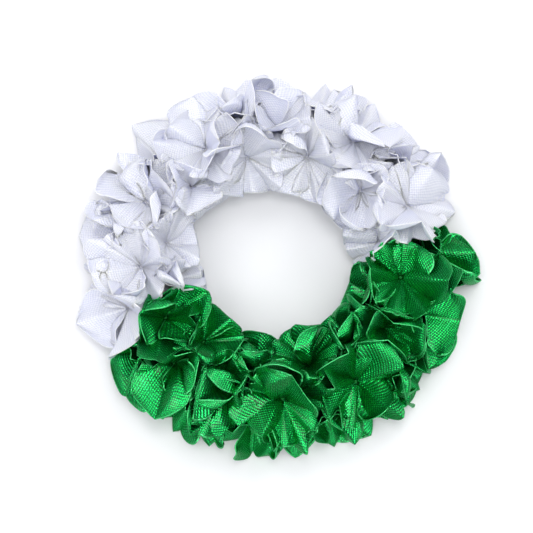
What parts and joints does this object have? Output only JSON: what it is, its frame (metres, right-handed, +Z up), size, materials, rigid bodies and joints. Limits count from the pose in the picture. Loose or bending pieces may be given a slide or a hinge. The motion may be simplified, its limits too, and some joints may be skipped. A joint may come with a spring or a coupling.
{
  "type": "ribbon gajra",
  "caption": "Ring garland for a hair bun: elastic band in a gathered sleeve, covered in gathered satin ribbon rosettes, half white and half green.",
  "frame": {"origin": "centre of the garland's outline on the surface that it lies on", "axes": "+Z up out of the ring, +X towards the start of the white half at the picture's right"},
  "size_m": [0.1156, 0.115, 0.0268],
  "materials": {
    "white_satin": "satin",
    "green_satin": "satin",
    "elastic_braid": "matte"
  },
  "bodies": {
    "root": {"elastic_band": "elastic_braid", "green_inner_rosette_228": "green_satin", "green_inner_rosette_257": "green_satin", "green_inner_rosette_288": "green_satin", "green_inner_rosette_314": "green_satin", "green_inner_rosette_339": "green_satin", "green_outer_rosette_004": "green_satin", "green_outer_rosette_214": "green_satin", "green_outer_rosette_239": "green_satin", "green_outer_rosette_262": "green_satin", "green_outer_rosette_289": "green_satin", "green_outer_rosette_318": "green_satin", "green_outer_rosette_340": "green_satin", "green_sleeve": "green_satin", "green_upper_rosette_207": "green_satin", "green_upper_rosette_225": "green_satin", "green_upper_rosette_247": "green_satin", "green_upper_rosette_273": "green_satin", "green_upper_rosette_304": "green_satin", "green_upper_rosette_329": "green_satin", "green_upper_rosette_353": "green_satin", "white_inner_rosette_011": "white_satin", "white_inner_rosette_040": "white_satin", "white_inner_rosette_073": "white_satin", "white_inner_rosette_105": "white_satin", "white_inner_rosette_138": "white_satin", "white_inner_rosette_170": "white_satin", "white_inner_rosette_190": "white_satin", "white_outer_rosette_040": "white_satin", "white_outer_rosette_074": "white_satin", "white_outer_rosette_105": "white_satin", "white_outer_rosette_138": "white_satin", "white_outer_rosette_170": "white_satin", "white_outer_rosette_197": "white_satin", "white_sleeve": "white_satin", "white_upper_rosette_023": "white_satin", "white_upper_rosette_057": "white_satin", "white_upper_rosette_089": "white_satin", "white_upper_rosette_121": "white_satin", "white_upper_rosette_155": "white_satin", "white_upper_rosette_182": "white_satin"}
  },
  "joints": []
}
